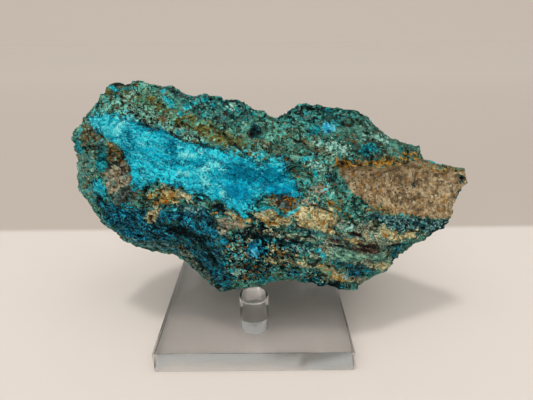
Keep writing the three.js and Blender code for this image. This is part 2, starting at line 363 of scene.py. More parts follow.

# Where each mineral, and the painted shade in the cracks, lies on the stone's face. They are painted in this
# order, each over the ones before.
# An outline is a closed line of (x, z) corners; a lens is (x, z, half length, half height, tilt).
# Tones run from dark to light. An accent is its colour, the share it covers, and the field it follows.
# Wander is how ragged the edge is, rise how far it stands out, halo a rim's colour and width: cyan veins
# round the cream, painted shade round the chrysocolla.
stoneMinerals = [
    {"name": "grey_top", "tones": ("101C1B", "2A504B", "346E66", "3E8178", "6CAEA0"),
     "fields": {"medium": 0.35, "grain": 0.4, "flow": 0.25}, "wander": 1.2,
     "accents": [("0E1517", 0.16, "mottle"), ("4C4A46", 0.12, "mottleB"), ("1C9AA0", 0.08, "grainB"),
       ("7CC8B8", 0.03, "grainC")],
     "outlines": [[(-44, 132), (-26, 128), (-6, 126), (6, 118), (-1, 113), (-23, 116), (-32, 121)]]},
    {"name": "dark_hump", "tones": ("0B1C1B", "22463F", "2C675D", "37807A", "62B3A6"),
     "fields": {"medium": 0.35, "grain": 0.4, "flow": 0.25}, "wander": 1.2,
     "accents": [("0A1213", 0.24, "mottle"), ("2796A0", 0.09, "grainB"), ("54665E", 0.08, "mottleB")],
     "outlines": [[(12, 114), (25, 124), (48, 120), (60, 114), (61, 109), (29, 113)]],
     "lenses": [(49.4, 112.3, 4.5, 3, -19)]},
    {"name": "brown_rock", "tones": ("26251A", "52523C", "686A4E", "707C60", "92A68C"),
     "fields": {"medium": 0.4, "grain": 0.4, "flow": 0.2}, "wander": 1.0,
     "accents": [("2B8580", 0.14, "mottle"), ("6E5228", 0.16, "mottleB"), ("14191A", 0.12, "grainB")],
     "outlines": [[(-88, 109), (-84, 113), (-78, 116), (-73, 109), (-72, 103), (-79, 102)]],
     "lenses": [(13.2, 100, 3, 1.6), (8, 105, 8, 1.3, -20), (30, 104, 9, 1.4, -14),
       (-36.2, 113.7, 2, 1, -20), (-50, 118, 3.5, 1.2, -20), (-67, 130.5, 4, 1.2), (62, 100.5, 3, 1, 30),
       (70, 101, 3, 0.9, 40), (79, 99, 2.4, 0.8, 30)]},
    {"name": "olive_crust", "tones": ("2B2A12", "484422", "5A5328", "645C30", "7C8650"),
     "fields": {"medium": 0.55, "grain": 0.2, "flow": 0.25}, "wander": 1.3, "rise": 0.1,
     "accents": [("4C8F77", 0.12, "mottle"), ("14170F", 0.06, "grainB"), ("86C4AA", 0.04, "grainC")],
     "outlines": [[(-73, 130), (-63, 130), (-50, 127.5), (-40, 121.5), (-31, 119.5), (-20, 115), (-10, 109),
       (-1, 106), (-3, 103.5), (-9, 103.5), (-17, 106), (-26, 110.5), (-36, 114.5), (-46, 120.5), (-58, 124),
       (-70, 127.5)]]},
    {"name": "salt_and_pepper", "tones": ("070A0B", "161D19", "2C3C32", "40705F", "7CBBA6"),
     "fields": {"grain": 0.6, "mottle": 0.4}, "wander": 1.2,
     "accents": [("080B0C", 0.22, "grainB"), ("9AD2BC", 0.13, "stroke"), ("5A4628", 0.14, "mottleB"),
       ("7CC8B4", 0.12, "grainC"), ("22A0A8", 0.08, "mottle")],
     "outlines": [[(-75, 125), (-67, 128), (-54, 124), (-40, 119), (-37, 115), (-22, 108), (-25, 105),
       (-36, 109), (-54, 116), (-60, 119), (-75, 122)]],
     "lenses": [(-14, 103.5, 9, 1.8, -15), (2, 102, 5, 2, -10)]},
    {"name": "inky_blue", "tones": ("030609", "06141C", "0A2B3A", "0B5A74", "148FAE"),
     "fields": {"mottle": 0.4, "flow": 0.3, "grain": 0.3}, "wander": 1.2,
     "accents": [("05080B", 0.14, "flowB"), ("1F5A50", 0.1, "mottleB"), ("6A8E80", 0.04, "stroke"),
       ("0E7F98", 0.06, "grainC")],
     "outlines": [[(-84, 78), (-70, 76), (-52, 75), (-43, 78), (-35, 80), (-22, 79), (-12, 67), (-7, 50),
       (-14, 31), (-21, 31), (-34, 43), (-57, 49), (-72, 51), (-79, 62)]],
     "lenses": [(53.3, 39.6, 6, 2.4, -11), (74, 44, 2.4, 9.5, -14), (48.6, 47, 15, 2.6, -34),
       (27, 66.9, 7.5, 1, -15)]},
    {"name": "striped_slab", "tones": ("142528", "264548", "36605F", "4C7874", "86A8A0"),
     "fields": {"flow": 0.7, "medium": 0.3}, "wander": 1.0, "rise": 0.5,
     "accents": [("0F1B1E", 0.14, "flowB"), ("2A8A9A", 0.1, "mottle"), ("6E6A50", 0.06, "flowC")],
     "lenses": [(-56, 51, 15, 3.8, -2)]},
    {"name": "rim_ridge", "tones": ("141E1D", "263633", "354945", "4A5E54", "8A9C8A"),
     "fields": {"flow": 0.3, "medium": 0.4, "grain": 0.3}, "wander": 0.7, "rise": 0.8,
     "accents": [("141A1B", 0.1, "mottle"), ("6A6650", 0.12, "mottleB")],
     "outlines": [[(-42, 51), (-36, 57), (-30, 46), (-16, 32), (-20, 30), (-33, 43)]]},
    {"name": "black_lace", "tones": ("010203", "04070A", "0A191D", "1B5058", "5CB8B2"),
     "fields": {"grain": 0.55, "mottle": 0.45}, "wander": 1.5, "rise": -0.2,
     "accents": [("16A0B4", 0.1, "grainC"), ("A8C8A4", 0.07, "grainB"), ("6E6850", 0.08, "mottleB"),
       ("040608", 0.16, "flowB"), ("A87424", 0.02, "fleckB")],
     "outlines": [[(-12, 62), (-1, 72), (5, 72), (16, 67), (23, 60), (22, 51), (13, 47), (4, 38), (-8, 36),
       (-14, 45), (-15, 54)], [(-20, 81), (-12, 81), (-12, 75), (-20, 76)], [(19, 43), (30, 46), (42, 39),
       (52, 32), (45, 31), (26, 34)]],
     "lenses": [(20.8, 60.5, 12, 1.3, -8), (10, 49, 13, 2.4, -9), (39, 90.5, 2, 3.4),
       (-28, 81.6, 4, 1.6, -10), (30, 101, 2, 1.2), (42, 36, 8.6, 2.8, -19)]},
    {"name": "under_ledge_teal", "tones": ("0C181C", "1B3A42", "2C5C62", "488286", "98C2BA"),
     "fields": {"grain": 0.5, "flow": 0.3, "cloud": 0.2}, "wander": 0.9, "rise": -0.3,
     "accents": [("090E12", 0.2, "mottle"), ("9CC4BC", 0.06, "grainB"), ("1B8A98", 0.08, "grainC")],
     "outlines": [[(54, 73), (69, 69), (106, 62), (106, 54), (96, 53), (85, 60), (73, 60), (62, 67)]],
     "lenses": [(78.7, 61.8, 14, 1.3, -6), (25.7, 57.8, 6.7, 1.3, -16), (-35, 78.3, 8.8, 1.3, -6)]},
    {"name": "malachite", "tones": ("20302A", "47675A", "5F8470", "7A9C80", "BCCBA6"),
     "fields": {"flow": 0.5, "medium": 0.25, "grain": 0.25}, "wander": 1.2,
     "accents": [("D2CFAE", 0.08, "flowB"), ("161D1B", 0.12, "flowC"), ("1B7480", 0.08, "mottle"),
       ("5A4A38", 0.08, "mottleB"), ("12191A", 0.07, "vein"), ("E0DCC0", 0.05, "stroke")],
     "outlines": [[(40, 71), (54, 69), (68, 63), (76, 56), (69, 50), (78, 39), (71, 36), (55, 46), (40, 52),
       (28, 54), (34, 62)]],
     "lenses": [(20.2, 64.1, 11, 1.3, -9)]},
    {"name": "smooth_green", "tones": ("2E4A42", "487264", "568673", "659680", "92BCA0"),
     "fields": {"medium": 0.5, "flow": 0.5}, "wander": 1.0, "rise": 0.2,
     "accents": [("2A4A4A", 0.08, "mottle")],
     "lenses": [(47, 52.6, 9, 3.4, -14), (64.2, 48.4, 9, 2.6, -36), (74, 100.4, 6, 2, -20),
       (68, 102, 7, 1.6, -30)]},
    {"name": "weathered_green", "tones": ("34544A", "4C7567", "5C8A79", "649588", "8FB8A6"),
     "fields": {"medium": 0.6, "grain": 0.4}, "wander": 1.0,
     "accents": [("7C6A4C", 0.12, "mottle"), ("2B8A90", 0.14, "mottleB"), ("22322E", 0.05, "grainB")],
     "outlines": [[(-95, 97), (-80, 103), (-77, 96), (-80, 86), (-81, 77), (-93, 78)]]},
    {"name": "teal_block", "tones": ("202A26", "2C4A40", "386052", "437264", "62968A"),
     "fields": {"cloud": 0.45, "medium": 0.45, "fine": 0.1}, "wander": 1.0, "rise": 0.3,
     "accents": [("1F6F68", 0.12, "mottle"), ("8FBCAC", 0.02, "flowB"), ("5E4422", 0.1, "flowC")],
     "outlines": [[(47, 116), (58, 114), (68, 107), (78, 102), (85, 100), (84, 96), (72, 96), (62, 96),
       (55, 98), (48, 101), (43, 107)]]},
    {"name": "pale_scale", "tones": ("24504A", "4F8A7E", "70A898", "8CBEB0", "B4DCCE"),
     "fields": {"medium": 0.4, "grain": 0.6}, "wander": 1.2,
     "accents": [("24443E", 0.14, "grainB")],
     "lenses": [(45.5, 65.6, 5.7, 2.6, -10), (-7, 43.6, 2.4, 0.8), (40.4, 104, 6.2, 2, -14),
       (62, 106.6, 4, 1.3, -6), (-10, 122.3, 1.5, 1.1, -36), (16, 94.5, 2.4, 1.5), (33, 96, 5, 1.5, -20),
       (-60, 127, 2, 0.8, 30)]},
    {"name": "granite", "tones": ("5C4C36", "837054", "938062", "A28F70", "BFAC8A"),
     "fields": {"mottle": 0.3, "medium": 0.25, "grain": 0.15, "fine": 0.15, "cloud": 0.15},
     "wander": 0.6, "rise": -0.2,
     "accents": [("A0743C", 0.08, "mottleC"), ("5C5545", 0.1, "mottleB"), ("4A4136", 0.03, "grainB"),
       ("C8BA98", 0.04, "grainC")],
     "outlines": [[(41, 98), (54, 97), (62, 95), (83, 96), (98, 91), (111, 88), (113, 84), (109, 76),
       (106, 62), (96, 65), (68, 70), (57, 77), (47, 86), (43, 92)]]},
    {"name": "grey_granite", "tones": ("4C483C", "6E6A57", "807B68", "938D78", "B6AD94"),
     "fields": {"medium": 0.4, "grain": 0.4, "fine": 0.2}, "wander": 0.8, "rise": -0.2,
     "accents": [("3A8F8C", 0.06, "mottle"), ("8A6A44", 0.08, "mottleB"), ("26282A", 0.08, "grainB"),
       ("D2C6A4", 0.06, "stroke")],
     "outlines": [[(-73, 93), (-68, 97), (-61, 98), (-58, 90), (-61, 88), (-71, 81), (-73, 84)]],
     "lenses": [(-14, 70, 3.5, 4.5), (-7, 71, 5, 3), (31.8, 85.8, 4, 2), (30, 79.5, 8, 1.5, -20),
       (57, 33.5, 6, 1.8, -32)]},
    {"name": "rusty_granite", "tones": ("2C2416", "5E5434", "7A6A3A", "9C783A", "ACA67C"),
     "fields": {"medium": 0.5, "grain": 0.5}, "wander": 1.0, "rise": -0.1,
     "accents": [("8C5A1C", 0.16, "mottle"), ("1A1814", 0.14, "grainB"), ("35786E", 0.1, "mottleB")],
     "outlines": [[(-70, 110), (-66, 110), (-61, 98), (-68, 96), (-72, 98), (-71, 103)]],
     "lenses": [(64, 95.6, 12, 1.2), (80, 97.4, 4, 1.0, -10), (-57.4, 104.3, 1.5, 0.8),
       (-45.7, 101, 1.2, 0.7), (65.2, 72.8, 7.6, 1.9, -20), (13.2, 100, 1.6, 1.0), (98, 90, 12, 0.8, -8)]},
    {"name": "ochre", "tones": ("4C3A16", "8C6E2A", "AC8836", "C09E50", "DCC88C"),
     "fields": {"medium": 0.5, "grain": 0.5}, "wander": 1.4,
     "accents": [("CFC294", 0.14, "grainB"), ("261E14", 0.1, "grainC"), ("4A9A86", 0.15, "mottle"),
       ("C07E1C", 0.16, "mottleB"), ("1E1812", 0.05, "vein")],
     "outlines": [[(-52, 82), (-44, 87), (-30, 86), (-27, 83), (-37, 81), (-46, 77)], [(28, 51), (37, 48.5),
       (47, 42), (55, 37), (52, 35), (41, 38.5)]],
     "lenses": [(9.9, 52.2, 2.5, 1.6), (-57, 58, 1.2, 2), (-5, 74.5, 4, 1.2, -20), (50, 60.5, 7, 0.8, -22),
       (34, 66.5, 7, 0.8, -14), (15.4, 55.3, 5.2, 1.5, -24), (34.6, 46.8, 8.4, 1.0, -28)]},
    {"name": "rust_stain", "tones": ("181109", "402C12", "6E521E", "927028", "B8944E"),
     "fields": {"medium": 0.5, "grain": 0.3, "mottle": 0.2}, "wander": 0.9, "rise": -0.3,
     "accents": [("BE7818", 0.15, "mottleB"), ("0D0B09", 0.12, "flowB"), ("3E9C90", 0.04, "grainC")],
     "outlines": [[(7, 85), (20, 84.5), (22, 80), (17, 75.5), (9, 82)]],
     "lenses": [(45, 97, 4.6, 2.4), (65, 97, 14, 1.2), (80, 98, 4.5, 1.0, -10), (39.5, 79, 3.4, 1.2, -30),
       (38, 71, 3.6, 1.0, -40)]},
    {"name": "cream", "tones": ("6A5C3A", "A09264", "B6AA80", "C8BE90", "E2DCAE"),
     "fields": {"grain": 0.45, "medium": 0.3, "flow": 0.25},
     "halo": ("20807F", 0.3), "wander": 0.9, "rise": 0.2,
     "accents": [("A06F24", 0.16, "mottle"), ("6E4A20", 0.06, "grainB"), ("5FA892", 0.06, "grainC"),
       ("2A2418", 0.05, "vein")],
     "outlines": [[(-1, 76.5), (11, 79), (19, 76), (19, 70.5), (8, 69)], [(18, 77), (24, 80), (39, 77),
       (42, 70), (40, 64), (23, 69)], [(60, 68), (76, 59), (86, 60), (85, 57), (75, 55), (67, 59)],
       [(-55, 71), (-51, 74), (-44, 78), (-45, 75), (-52, 67)]],
     "lenses": [(66.8, 41.5, 6.5, 1.9, -22), (-31.6, 84, 4, 1.3), (-64.7, 72.5, 3.2, 1.3),
       (76.2, 57.8, 9.3, 1.2, -10), (22.3, 50.3, 8.7, 1.3, -14), (46, 40.6, 8, 1.4, -38),
       (-41, 89.5, 2.4, 1.4), (57.8, 61.2, 5.4, 0.9, -22)]},
    {"name": "dark_patch", "tones": ("181A19", "2C2F2B", "363A35", "41453E", "66807A"),
     "fields": {"medium": 0.6, "grain": 0.4}, "wander": 0.9, "rise": -0.6,
     "accents": [("2A7C80", 0.06, "grainB")],
     "outlines": [[(-66, 84), (-60, 88), (-57, 80), (-63, 77), (-70, 78)]],
     "lenses": [(-74, 104.5, 2.4, 2), (-71, 96.5, 1.3, 2.6), (15.5, 81, 4, 1.5, -16)]},
    # cracks and hollows cut into the stone and painted near-black: painted shade
    {"name": "painted_shade_crack", "tones": ("020303", "050909", "091312", "0F1F20", "1C4A4E"),
     "fields": {"medium": 0.6, "grain": 0.4}, "wander": 0.8, "rise": -1.2,
     "accents": [("0F5A6C", 0.06, "grainB")],
     "lenses": [(-37, 65.5, 8.5, 3.2, -12), (-27, 62, 6, 1.6, -45), (-20, 52, 8, 1.2, -62),
       (-52, 86.2, 2.8, 1.1, 23), (-46.3, 89, 1.6, 1.2), (-56.6, 94.3, 1.6, 1.2, -33),
       (11.5, 78.3, 4.9, 0.7, -22), (1.9, 110.3, 3.2, 2.4), (4, 64, 7, 1.2, -6), (38, 34, 9, 2.0, -6),
       (22, 60.6, 9, 0.8, -8), (-22, 56, 9, 1.1, -58), (73.4, 53.3, 6, 0.8, -7), (84, 83, 1.4, 1.2),
       (109, 84.3, 1.5, 1.4), (44, 57.5, 7, 0.7, -18), (-15.7, 79, 3.0, 1.6, -9),
       (-25.7, 82.9, 3.0, 1.3, -9), (-1, 75.7, 2.6, 1.0, -22)]},
    {"name": "maroon_lens", "tones": ("100C0C", "221A18", "2E2420", "3C302A", "6A5C4C"),
     "fields": {"flow": 0.6, "grain": 0.4}, "wander": 0.7, "rise": -0.4,
     "lenses": [(57.6, 54.4, 7.4, 2.0, -11), (42, 60.5, 5, 1.0, -20), (52, 63, 4, 1.2, -20)]},
    {"name": "teal_pocket", "tones": ("08323A", "0C5864", "0F6E7A", "15868F", "30A4AC"),
     "fields": {"medium": 0.6, "fine": 0.4}, "wander": 0.9,
     "accents": [("0B1C20", 0.06, "mottle")],
     "lenses": [(-74.5, 98, 2.6, 4.8, -10), (57, 102.6, 4.4, 2.4), (30.6, 110.1, 3.4, 1.8, 18),
       (-88, 103.5, 3, 3.5)]},
    {"name": "azure_crust", "tones": ("04141F", "08405A", "0A6284", "108AAC", "3CBAD2"),
     "fields": {"grain": 0.35, "mottle": 0.35, "flow": 0.3}, "wander": 1.4, "rise": 0.1,
     "accents": [("05090D", 0.22, "mottle")],
     "lenses": [(-35.4, 73.2, 6.5, 1.8, -6), (-26.6, 68.8, 5, 1.4, -26), (1.1, 57.8, 3.8, 4.0, -18),
       (19.7, 42.4, 2.2, 2.1), (-63, 57, 10, 3.0, 6), (-65.6, 70.0, 8, 3.4, -8), (-70, 62.5, 7, 2.4, -20),
       (-50, 64, 7, 2.0, -10), (52, 39.6, 3.4, 1.4, -11), (-21.5, 44.6, 4.4, 1.6, -32),
       (-78.7, 82.6, 3, 4, 18)]},
    {"name": "chrysocolla", "tones": ("01536E", "01829E", "0298B2", "04ABC4", "20C6DA"),
     "fields": {"cloud": 0.25, "medium": 0.3, "flow": 0.3, "fine": 0.15},
     # the dark halo is painted shade in the crack round the raised crust
     "halo": ("0E1A1B", 0.6), "wander": 1.2, "rise": 0.5,
     "accents": [("017188", 0.12, "flowB"), ("48D2DC", 0.1, "flowC"), ("74DADC", 0.04, "lace"),
       ("01566E", 0.05, "vein"), ("0A2A33", 0.02, "veinB")],
     "outlines": [[(-80, 118), (-70, 120), (-60, 119), (-54, 115), (-44, 113), (-36, 109), (-26, 106),
       (-16, 105), (-12, 102), (-1, 101), (3, 98), (15, 101), (19, 92), (24, 83), (9, 85), (-2, 80),
       (-4, 75), (-12, 81), (-28, 86), (-44, 91), (-53, 87), (-57, 84), (-60, 97), (-64, 107), (-76, 111)]],
     "lenses": [(-78, 83, 4.3, 5), (-64, 75.6, 2.7, 1.3)]},
    {"name": "bright_chrysocolla", "tones": ("036A84", "0292AC", "03A6C0", "06B8CE", "18D2E4"),
     "fields": {"medium": 0.4, "flow": 0.4, "fine": 0.2}, "wander": 2.2, "rise": 0.1,
     "accents": [("0489A0", 0.1, "flowB"), ("38DCEA", 0.1, "flowC"), ("86E8E8", 0.04, "lace"),
       ("04708A", 0.04, "vein")],
     "lenses": [(-35.3, 95, 11, 3.6, -8), (-52, 98.6, 7, 2.2, -2), (-47, 109, 8, 2.4, -14),
       (-12, 101, 8, 1.6, -6), (-3, 80.5, 5.5, 2.8, -10), (5, 85.8, 8, 0.9, 4)]},
    {"name": "pale_chrysocolla", "tones": ("048098", "0E98A8", "1CA6B4", "30B4C0", "66CCD4"),
     "fields": {"medium": 0.5, "fine": 0.25, "flow": 0.25}, "wander": 2.4, "rise": 0.3,
     "accents": [("0A8096", 0.1, "flowB"), ("8CDCDE", 0.1, "mottle")],
     "outlines": [[(-79, 118), (-61, 119), (-58, 112), (-62, 108), (-72, 110)]],
     "lenses": [(-42, 104.5, 8, 1.2, -16)]},
    {"name": "deep_chrysocolla", "tones": ("013248", "01425A", "014E6A", "025C78", "06809C"),
     "fields": {"cloud": 0.3, "medium": 0.3, "flow": 0.3, "fine": 0.1}, "wander": 1.8, "rise": 0.1,
     "accents": [("10A0B6", 0.05, "lace"), ("012A38", 0.05, "vein")],
     "lenses": [(-4, 93.6, 10, 5.0, -4), (9.5, 93, 7.5, 4.6), (-59, 110.2, 1.5, 3.6),
       (-38.2, 105, 3, 3, -28), (-35, 99.6, 8.7, 1.2, -6), (-54, 105, 5, 1, -20), (-46, 112.6, 4, 0.7, -14)]},
    {"name": "blue_chrysocolla", "tones": ("016286", "027CA0", "028AB0", "0396BA", "0FB2D0"),
     "fields": {"cloud": 0.3, "medium": 0.3, "flow": 0.3, "fine": 0.1}, "wander": 1.6, "rise": 0.1,
     "accents": [("20B8CC", 0.04, "lace"), ("015C78", 0.05, "vein")],
     "lenses": [(-6.6, 86.5, 9, 3.8, -8), (12, 87.5, 7, 2.4, -12), (-46, 103, 6, 1.2, -14)]},
    {"name": "lichen", "tones": ("02738A", "0492A6", "08A2B4", "1CB6C2", "50CCD4"),
     "fields": {"medium": 0.4, "fine": 0.3, "grain": 0.3}, "wander": 0.9, "rise": 0.3,
     "accents": [("A0E4E0", 0.16, "lace")],
     "lenses": [(-22, 95.5, 3.4, 1.4, 17), (-16.6, 97.1, 2.6, 1.2, -17), (-21.8, 90.5, 3.6, 1.4, -60),
       (-31.3, 102.7, 2.4, 1.3), (-24.5, 103, 1.8, 1), (-63.5, 114.1, 1.8, 2.6), (-60.9, 117.8, 3, 0.8),
       (-32, 94, 2.4, 1.4), (-14, 86, 1.2, 2.4, 20)]},
    {"name": "cyan_vein", "tones": ("066472", "0A8A98", "12A0AC", "28B2BC", "66CCCE"),
     "fields": {"medium": 0.5, "fine": 0.5}, "wander": 0.25,
     "lenses": [(5.8, 78.8, 5.9, 0.95, 3), (14, 76.4, 4.2, 0.9, -30), (19.5, 77.6, 3.5, 0.95, 41),
       (4.3, 36.3, 1.6, 2), (9, 36.6, 1.6, 2.8), (-16.6, 35, 2.1, 1.2), (98.8, 91.6, 10, 0.45, -7),
       (31.7, 56.8, 1.6, 1.2), (34.8, 54, 1.8, 1.1, -34), (-67.4, 130.5, 3, 1, -35),
       (-61.3, 130.6, 3.3, 0.6), (-44, 129.5, 1.5, 1), (-40.5, 125, 3.8, 1.2, -40), (-34.7, 119.5, 1.6, 1.1),
       (-31.9, 121.9, 1.9, 1.1), (-28.8, 123.4, 1.4, 1), (-23.2, 125, 2, 1.2), (-19.5, 122, 1.3, 0.9),
       (11, 99.3, 3, 0.7, -20), (4.5, 101.5, 2.6, 0.9, 10), (31, 93, 1, 2.4, 20), (26, 99.6, 2.4, 0.8, 20),
       (-40, 77, 4, 0.6, -10), (-86.5, 110, 3, 0.7, 50)]},
    {"name": "sky_blue_spot", "tones": ("1C84A8", "2494B8", "2FA2C4", "45B2D0", "78D0E0"),
     "fields": {"medium": 0.6, "fine": 0.4}, "wander": 0.6,
     "lenses": [(37.8, 112, 2.7, 2.1), (1.1, 57.2, 2.0, 2.4), (19.5, 42.2, 1.2, 1)]},
]

stoneSetup = {
    "voxel": 0.75,
    "mostTriangles": 196000,
    "smoothAngle": 40,
    "seatClear": 9.5,      # round each peg's middle, and below this height, the stone has no relief
    "seatHeight": 36.0,
    # the layers drift out of place from backStart to backStart + backLength behind the origin
    "backStart": 6, "backLength": 22, "driftSize": 34, "drift": 16, "lensLoss": 1.5,
    "raggedSize": 4, "ragged": 0.7, "raggedBack": 1.5,
    "deepest": 6,
    # where the stone bulges past its CAD facets or falls short: x, z, radius, how much
    "swells": [(-67.8, 131.6, 6, 1.6), (-81.3, 116.2, 8, 2.6), (-90.7, 108.9, 7, 2.2), (-92.2, 94.7, 8, -2.2),
               (-93.5, 79, 9, 1.8), (-40, 129.3, 6, 1.6), (1.6, 121, 8, -2.0), (57.5, 114.5, 7, 1.4),
               (109.9, 82.5, 8, 1.5), (105, 55.5, 7, 1.6), (94, 49.6, 8, 1.8), (82, 46.4, 6, 1.6),
               (-40.8, 42, 6, 1.6), (54.4, 31, 5, 1.6), (82.4, 102, 5, -1.6), (18, 32, 7, -1.8),
               (35, 33.5, 7, 2.6)],
}

# broken relief: sizes across and heights, both in millimetres; a hold is the share of relief smoothed away
reliefSetup = {
    "dip": math.radians(24),
    "waveSize": 22, "wave": 1.8, "rippleSize": 5, "ripple": 0.5,
    "ledgeEvery": 3.9, "ledge": 1.1, "ledgePatch": 13, "ledgeShare": 0.45, "ledgeVary": 0.9,
    "bigChip": 6.5, "bigLift": 1.3, "bigStretch": (0.6, 1, 1),
    "smallChip": 2.3, "smallLift": 0.7, "smallStretch": (0.45, 1, 1),
    "chipTilt": 1.6,
    "bigRim": 0.16, "smallRim": 0.28, "smallCrack": 0.8, "crackPatch": 9, "crackCut": 0.7,
    "crackFade": 6, "crackShare": 0.65, "crackVary": 0.7,
    "grainSize": 1.5, "grain": 0.15,
    "zoneFade": 1.5, "crustHold": 0.65, "crackHold": 0.9, "slabHold": 0.8, "crumbSize": 2.2, "crumb": 0.16,
    "riseFade": 0.8, "hollowFull": 1.4,
}


def cellValue(cell, seed):
    # a repeatable number from 0 to 1 for each whole-number cell
    mixed = (cell[:, 0] * 73856093) ^ (cell[:, 1] * 19349663) ^ (cell[:, 2] * 83492791) ^ (seed * 40503001)
    mixed = (mixed & 0xFFFFFFFF) * 1274126177 & 0xFFFFFFFF
    mixed = (mixed ^ (mixed >> 15)) * 668265263 & 0xFFFFFFFF
    return ((mixed ^ (mixed >> 13)) & 0xFFFF) / 65535


def softNoise(points, size, seed):
    # smooth lumps about one size across, from -1 to 1
    scaled = points / size
    cell = np.floor(scaled).astype(np.int64)
    part = scaled - cell
    part = part * part * (3 - 2 * part)
    total = np.zeros(len(points))
    for corner in np.ndindex(2, 2, 2):
        weight = np.prod(np.where(corner, part, 1 - part), axis=1)
        total += weight * cellValue(cell + np.array(corner), seed)
    return total * 2 - 1


def chipped(points, size, seed):
    # each cell is a small flat break with its own tilt: returns its height, and 0 at its rim to 1 inside
    scaled = points / size
    base = np.floor(scaled).astype(np.int64)
    nearest = np.full(len(points), 9.0)
    second = np.full(len(points), 9.0)
    height = np.zeros(len(points))
    for step in np.ndindex(3, 3, 3):
        cell = base + np.array(step) - 1
        centre = cell + np.stack([cellValue(cell, seed + n) for n in (1, 2, 3)], axis=1)
        away = scaled - centre
        distance = np.linalg.norm(away, axis=1)
        tilt = np.stack([cellValue(cell, seed + n) - 0.5 for n in (4, 5, 6)], axis=1)
        here = (away * tilt).sum(axis=1) * reliefSetup["chipTilt"] + cellValue(cell, seed + 7) - 0.5
        closer = distance < nearest
        second = np.where(closer, nearest, np.minimum(second, distance))
        height = np.where(closer, here, height)
        nearest = np.where(closer, distance, nearest)
    return height, np.clip((second - nearest) * 2, 0, 1)


def outlineDepth(spots, corners):
    # millimetres inside a closed outline, negative outside
    line = np.array(corners, float)
    nearest = np.full(len(spots), 1e9)
    crossed = np.zeros(len(spots), bool)
    for start, end in zip(line, np.roll(line, -1, axis=0)):
        along = end - start
        share = np.clip((spots - start) @ along / (along @ along), 0, 1)
        nearest = np.minimum(nearest, np.linalg.norm(spots - start - share[:, None] * along, axis=1))
        spans = (start[1] > spots[:, 1]) != (end[1] > spots[:, 1])
        rise = along[1] if along[1] else 1e-9
        crossed ^= spans & (spots[:, 0] < start[0] + (spots[:, 1] - start[1]) * along[0] / rise)
    return np.where(crossed, nearest, -nearest)


def lensDepth(spots, x, z, length, height, tilt=0):
    turn = math.radians(tilt)
    away = spots - (x, z)
    along = away @ (math.cos(turn), math.sin(turn)) / length
    across = away @ (-math.sin(turn), math.cos(turn)) / height
    return (1 - np.hypot(along, across)) * min(length, height)


def mineralDepth(points, mineral):
    # the layers run through the stone; towards the back they wander away from their place on the face
    back = np.clip((points[:, 1] - stoneSetup["backStart"]) / stoneSetup["backLength"], 0, 1)
    driftSize, raggedSize = stoneSetup["driftSize"], stoneSetup["raggedSize"]
    shift = np.stack([softNoise(points, driftSize, 11), softNoise(points, driftSize, 12)], axis=1)
    ragged = np.stack([softNoise(points, raggedSize, 13), softNoise(points, raggedSize, 14)], axis=1)
    raggedness = stoneSetup["ragged"] + back * stoneSetup["raggedBack"]
    spots = points[:, [0, 2]] + shift * (back * stoneSetup["drift"])[:, None] + ragged * raggedness[:, None]
    depth = np.full(len(points), -9.0)
    for corners in mineral.get("outlines", []):
        depth = np.maximum(depth, outlineDepth(spots, corners))
    for lens in mineral.get("lenses", []):
        depth = np.maximum(depth, lensDepth(spots, *lens) - back * stoneSetup["lensLoss"])
    return np.clip(depth, -stoneSetup["deepest"], stoneSetup["deepest"])


def zone(points, name):
    # 1 well inside a mineral, fading to 0 at its edge
    mineral = next(m for m in stoneMinerals if m["name"] == name)
    return np.clip(mineralDepth(points, mineral) / reliefSetup["zoneFade"], 0, 1)


def readPoints(mesh):
    flat = np.zeros(len(mesh.vertices) * 3)
    mesh.vertices.foreach_get("co", flat)
    return flat.reshape(-1, 3)


def countTriangles(mesh):
    return sum(len(face.vertices) - 2 for face in mesh.polygons)


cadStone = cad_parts["specimen"]
stone = bpy.data.objects.new("chrysocolla_stone", cadStone.data.copy())
scene.collection.objects.link(stone)
stone.data.materials.clear()
makeActive(stone)
bpy.ops.object.mode_set(mode="EDIT")
bpy.ops.mesh.select_all(action="SELECT")
bpy.ops.mesh.remove_doubles(threshold=0.01 * mm)
bpy.ops.object.mode_set(mode="OBJECT")
applyModifier(stone, "REMESH", mode="VOXEL", voxel_size=stoneSetup["voxel"] * mm)
print("stone remeshed:", len(stone.data.vertices), "points")

# ledges along the layers, flat chips longest along the layers, grains, and cracks between the chips
points = readPoints(stone.data) / mm
normals = np.zeros(len(points) * 3)
stone.data.vertex_normals.foreach_get("vector", normals)
normals = normals.reshape(-1, 3)
rs = reliefSetup
dip = rs["dip"]
layered = np.stack([points[:, 0] * math.cos(dip) - points[:, 2] * math.sin(dip), points[:, 1],
                    points[:, 2] * math.cos(dip) + points[:, 0] * math.sin(dip)], axis=1)
layered[:, 2] += (rs["wave"] * softNoise(points, rs["waveSize"], 21)
                  + rs["ripple"] * softNoise(points, rs["rippleSize"], 23))
ledge = (layered[:, 2] / rs["ledgeEvery"]) % 1.0
ledgeStrength = np.clip(rs["ledgeShare"] + rs["ledgeVary"] * softNoise(points, rs["ledgePatch"], 22), 0, 1)
bigChip, bigRim = chipped(layered * rs["bigStretch"], rs["bigChip"], 31)
smallChip, smallRim = chipped(layered * rs["smallStretch"], rs["smallChip"], 41)
smallCracks = rs["smallCrack"] * np.maximum(1 - smallRim / rs["smallRim"], 0)
cracks = (np.maximum(1 - bigRim / rs["bigRim"], 0)
          + smallCracks * (softNoise(points, rs["crackPatch"], 24) > 0))
cracks = np.clip(cracks * (rs["crackShare"] + rs["crackVary"] * softNoise(points, rs["crackFade"], 25)), 0, 1)
grain = softNoise(points, rs["grainSize"], 51)
relief = ((ledge - 0.5) * rs["ledge"] * ledgeStrength + bigChip * rs["bigLift"] + smallChip * rs["smallLift"]
          + grain * rs["grain"] - cracks * rs["crackCut"])
